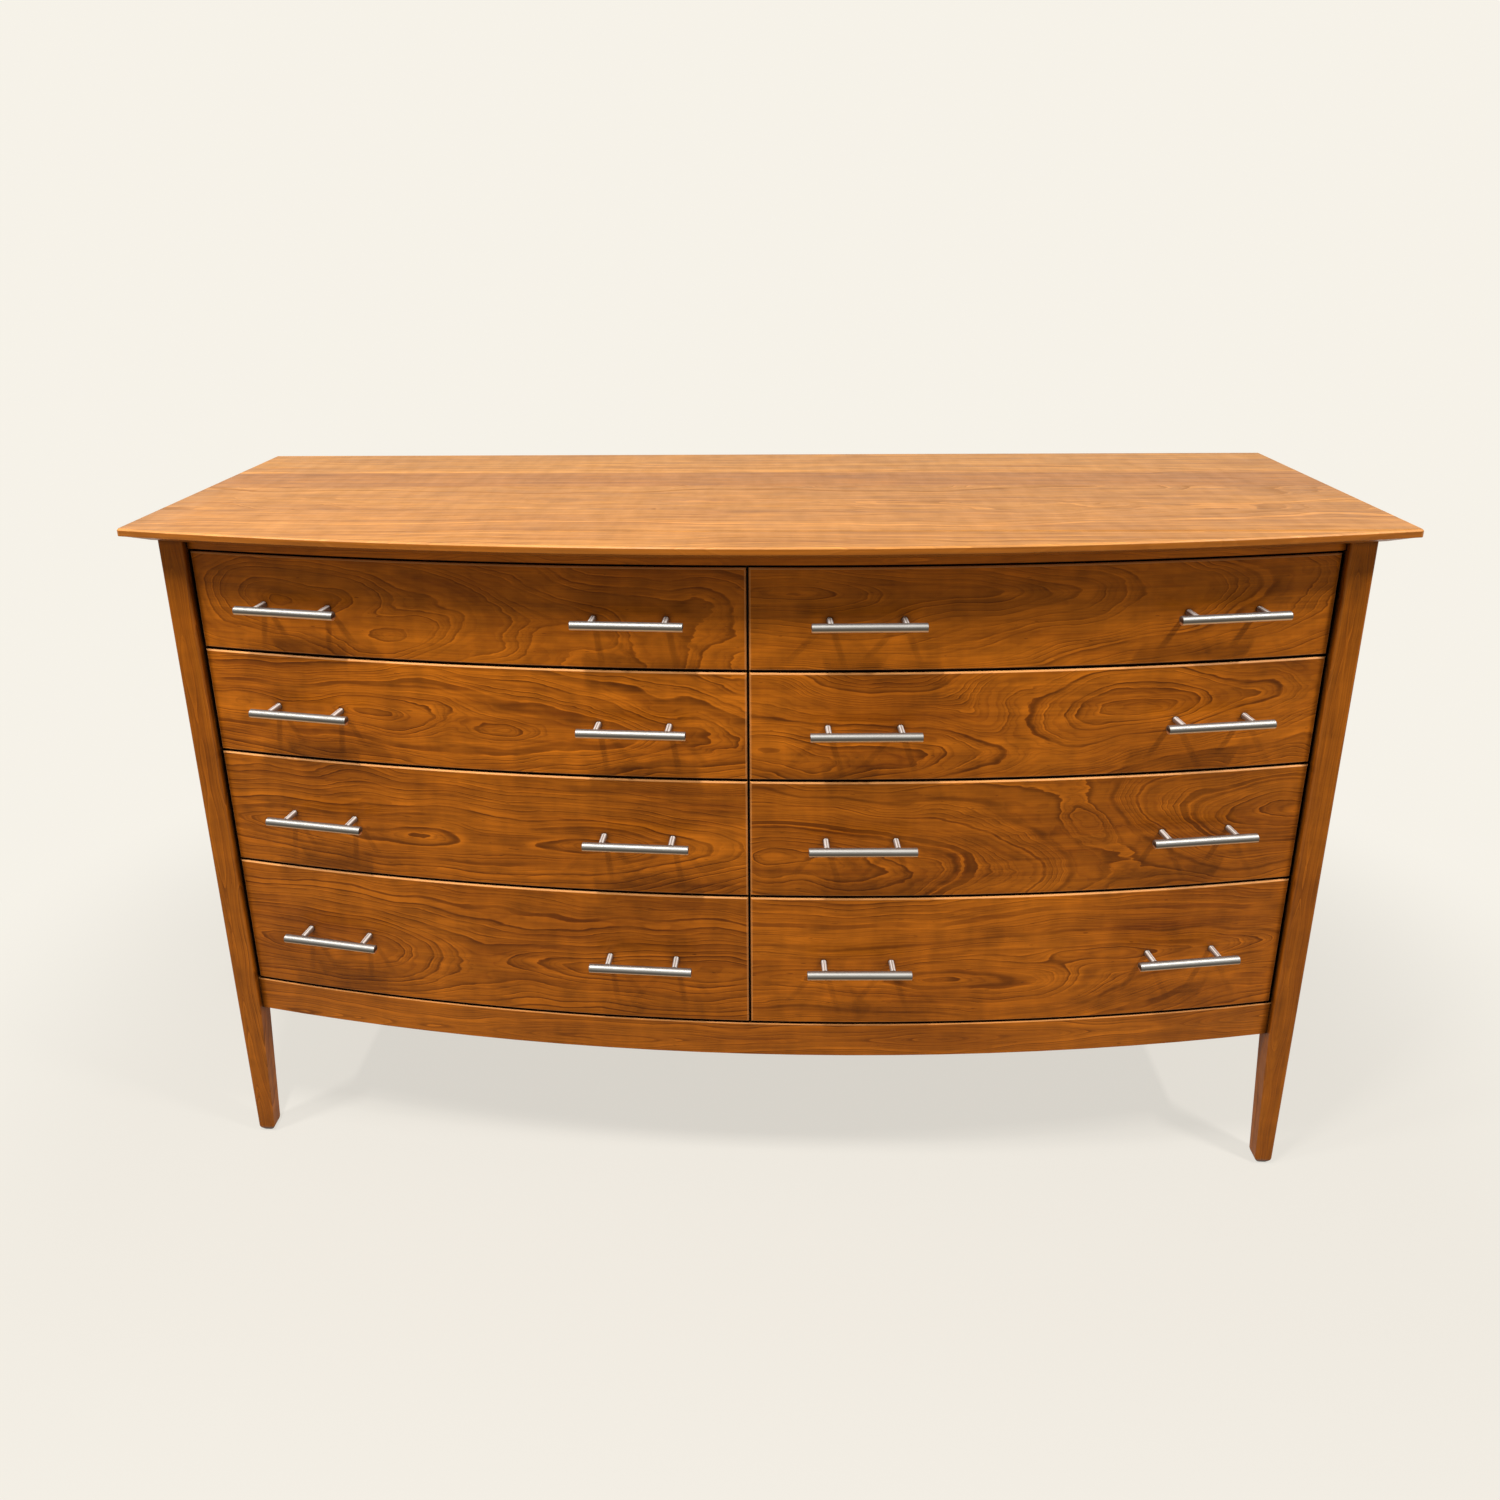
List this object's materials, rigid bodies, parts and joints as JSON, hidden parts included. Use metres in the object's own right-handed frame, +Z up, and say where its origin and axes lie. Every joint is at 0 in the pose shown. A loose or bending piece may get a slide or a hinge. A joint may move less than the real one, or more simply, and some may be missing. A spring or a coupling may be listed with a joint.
{
  "type": "dresser",
  "caption": "Wide wooden dresser on tapered legs, with two columns of graduated drawers on a bowed front, bar pulls, and a bowed top with an undercut edge.",
  "frame": {"origin": "on the floor, under the middle of the whole outline", "axes": "+X along the front to the viewer's right, -Y out of the front, +Z up"},
  "size_m": [1.688, 0.5722, 1.03],
  "materials": {
    "cherry_top": "oiled satin cherry, glued-up boards",
    "cherry_front": "oiled satin cherry with flame figure",
    "cherry_frame": "oiled satin cherry, straight grain",
    "cherry_panel": "cherry veneered panel",
    "maple": "pale lacquered maple",
    "maple_panel": "pale lacquered plywood",
    "brushed_nickel": "brushed nickel",
    "zinc_steel": "zinc-plated sheet steel"
  },
  "bodies": {
    "case": {"top_board": "cherry_top", "top_front_rail": "cherry_frame", "bottom_front_rail": "cherry_frame", "top_rear_rail": "cherry_frame", "bottom_rear_rail": "cherry_frame", "bottom_board": "cherry_panel", "centre_partition": "cherry_frame", "back_panel": "cherry_panel", "front_left_leg": "cherry_frame", "front_right_leg": "cherry_frame", "rear_left_leg": "cherry_frame", "rear_right_leg": "cherry_frame", "left_side_panel": "cherry_frame", "right_side_panel": "cherry_frame", "left_case_slides": "zinc_steel", "right_case_slides": "zinc_steel", "slide_packers": "maple", "top_clips": "zinc_steel"},
    "drawer_left_1": {"drawer_left_1_front": "cherry_front", "drawer_left_1_box": "maple", "drawer_left_1_floor": "maple_panel", "drawer_left_1_runners": "zinc_steel", "drawer_left_1_pulls": "brushed_nickel"},
    "drawer_left_2": {"drawer_left_2_front": "cherry_front", "drawer_left_2_box": "maple", "drawer_left_2_floor": "maple_panel", "drawer_left_2_runners": "zinc_steel", "drawer_left_2_pulls": "brushed_nickel"},
    "drawer_left_3": {"drawer_left_3_front": "cherry_front", "drawer_left_3_box": "maple", "drawer_left_3_floor": "maple_panel", "drawer_left_3_runners": "zinc_steel", "drawer_left_3_pulls": "brushed_nickel"},
    "drawer_left_4": {"drawer_left_4_front": "cherry_front", "drawer_left_4_box": "maple", "drawer_left_4_floor": "maple_panel", "drawer_left_4_runners": "zinc_steel", "drawer_left_4_pulls": "brushed_nickel"},
    "drawer_right_1": {"drawer_right_1_front": "cherry_front", "drawer_right_1_box": "maple", "drawer_right_1_floor": "maple_panel", "drawer_right_1_runners": "zinc_steel", "drawer_right_1_pulls": "brushed_nickel"},
    "drawer_right_2": {"drawer_right_2_front": "cherry_front", "drawer_right_2_box": "maple", "drawer_right_2_floor": "maple_panel", "drawer_right_2_runners": "zinc_steel", "drawer_right_2_pulls": "brushed_nickel"},
    "drawer_right_3": {"drawer_right_3_front": "cherry_front", "drawer_right_3_box": "maple", "drawer_right_3_floor": "maple_panel", "drawer_right_3_runners": "zinc_steel", "drawer_right_3_pulls": "brushed_nickel"},
    "drawer_right_4": {"drawer_right_4_front": "cherry_front", "drawer_right_4_box": "maple", "drawer_right_4_floor": "maple_panel", "drawer_right_4_runners": "zinc_steel", "drawer_right_4_pulls": "brushed_nickel"}
  },
  "joints": [
    {"name": "drawer_left_1_slide", "type": "slide", "parent": "case", "child": "drawer_left_1", "axis": [0, -1, 0], "range_m": [0, 0.3]},
    {"name": "drawer_left_2_slide", "type": "slide", "parent": "case", "child": "drawer_left_2", "axis": [0, -1, 0], "range_m": [0, 0.3]},
    {"name": "drawer_left_3_slide", "type": "slide", "parent": "case", "child": "drawer_left_3", "axis": [0, -1, 0], "range_m": [0, 0.3]},
    {"name": "drawer_left_4_slide", "type": "slide", "parent": "case", "child": "drawer_left_4", "axis": [0, -1, 0], "range_m": [0, 0.3]},
    {"name": "drawer_right_1_slide", "type": "slide", "parent": "case", "child": "drawer_right_1", "axis": [0, -1, 0], "range_m": [0, 0.3]},
    {"name": "drawer_right_2_slide", "type": "slide", "parent": "case", "child": "drawer_right_2", "axis": [0, -1, 0], "range_m": [0, 0.3]},
    {"name": "drawer_right_3_slide", "type": "slide", "parent": "case", "child": "drawer_right_3", "axis": [0, -1, 0], "range_m": [0, 0.3]},
    {"name": "drawer_right_4_slide", "type": "slide", "parent": "case", "child": "drawer_right_4", "axis": [0, -1, 0], "range_m": [0, 0.3]}
  ]
}
